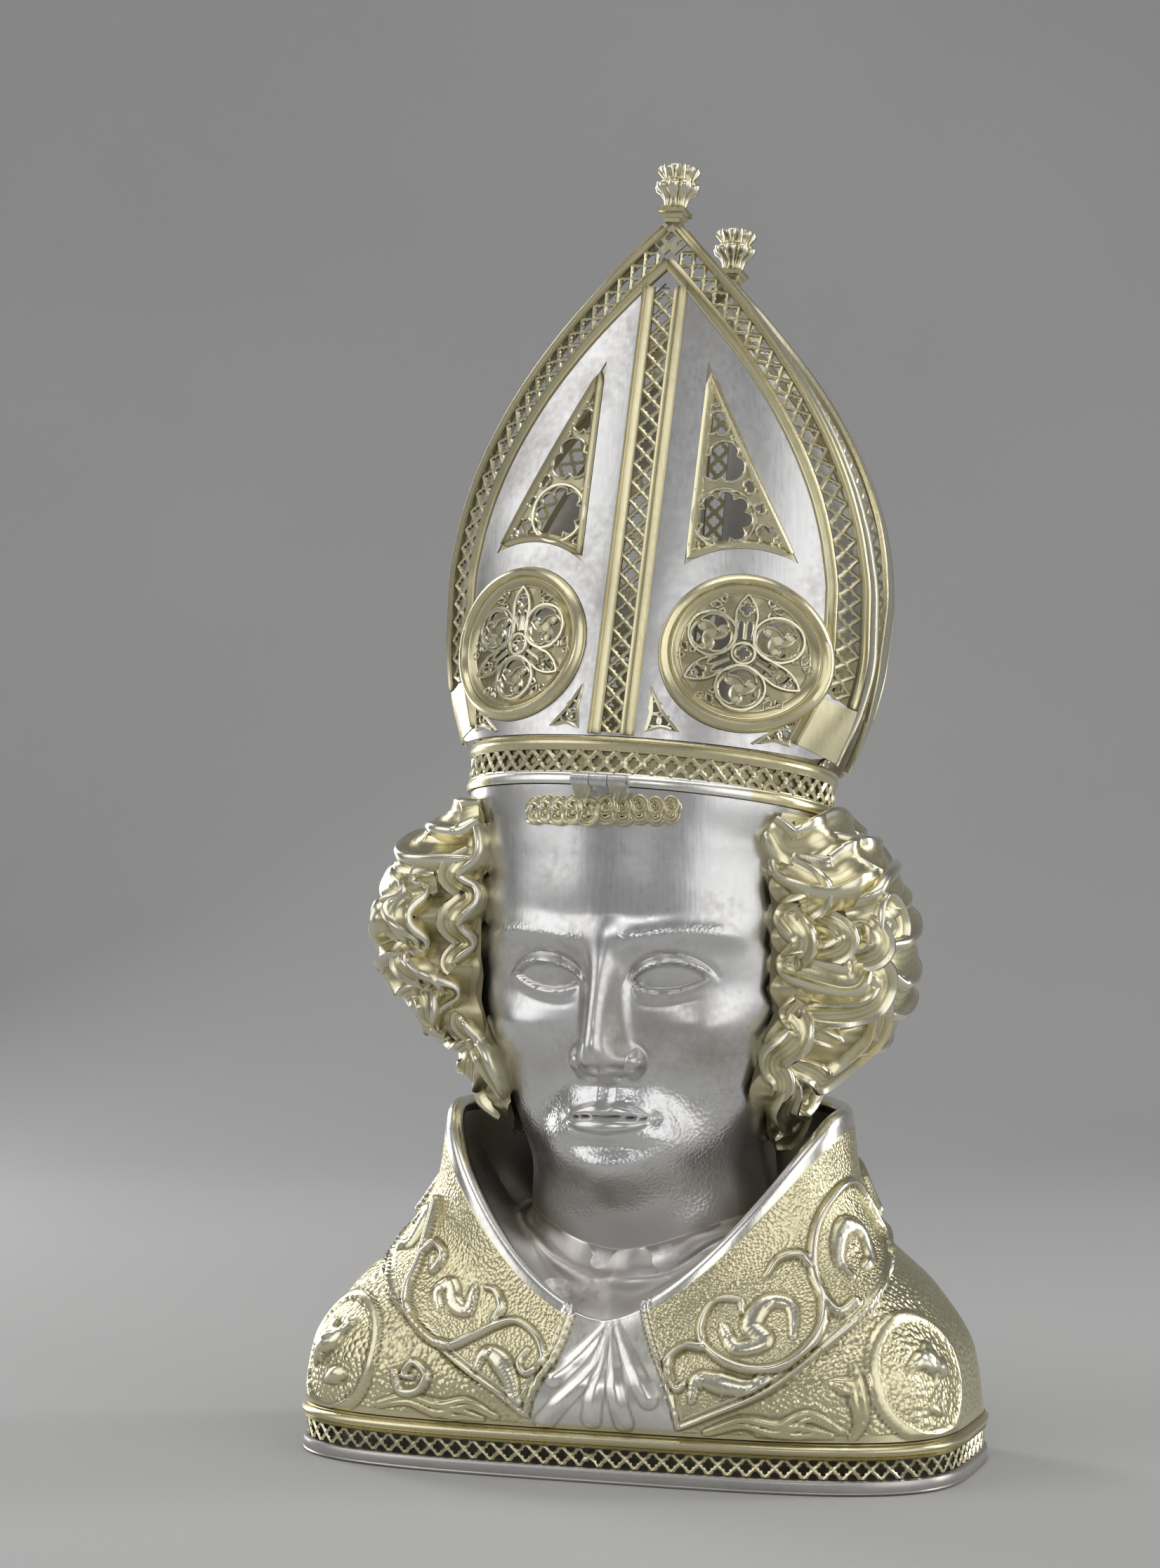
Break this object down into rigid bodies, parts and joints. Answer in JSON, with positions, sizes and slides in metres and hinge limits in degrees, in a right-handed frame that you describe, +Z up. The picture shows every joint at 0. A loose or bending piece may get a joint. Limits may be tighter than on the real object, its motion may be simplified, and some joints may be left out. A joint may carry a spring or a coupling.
{
  "type": "saint bust",
  "caption": "Hollow parcel-gilt silver bust of a bishop saint with curled hair, chased collar and an openwork mitre that opens on a front hinge.",
  "frame": {"origin": "centre of the flat underside", "axes": "+Z up, the face looks along -Y, +X to the viewer's right"},
  "size_m": [0.2364, 0.1443, 0.4457],
  "materials": {
    "silver": "bright polished silver with soft grey-brown tarnish in the hollows",
    "gilt": "pale champagne gilding, satin, worn to silver on high ridges",
    "foot_silver": "dull grey plain silver rim"
  },
  "bodies": {
    "bust": {"foot_plate": "foot_silver", "base_gallery": "gilt", "base_moulding": "gilt", "shoulders": "gilt", "head": "silver", "hair": "gilt", "forelock": "gilt", "hinge_knuckle_left": "gilt", "hinge_knuckle_right": "gilt", "hinge_pin": "gilt"},
    "mitre": {"mitre_rim": "gilt", "mitre_front_panel": "silver", "mitre_back_panel": "silver", "rosette_front_left": "gilt", "rosette_front_right": "gilt", "rosette_back_left": "gilt", "rosette_back_right": "gilt", "tracery_front_left": "gilt", "tracery_front_right": "gilt", "tracery_back_left": "gilt", "tracery_back_right": "gilt", "finial_front": "gilt", "finial_back": "gilt", "hinge_knuckle_middle": "gilt"}
  },
  "joints": [
    {"name": "mitre_hinge", "type": "hinge", "parent": "bust", "child": "mitre", "pos_m": [0.00312, -0.05616, 0.23282], "axis": [0.9986, 0, -0.0523], "range_deg": [0, 85]}
  ]
}
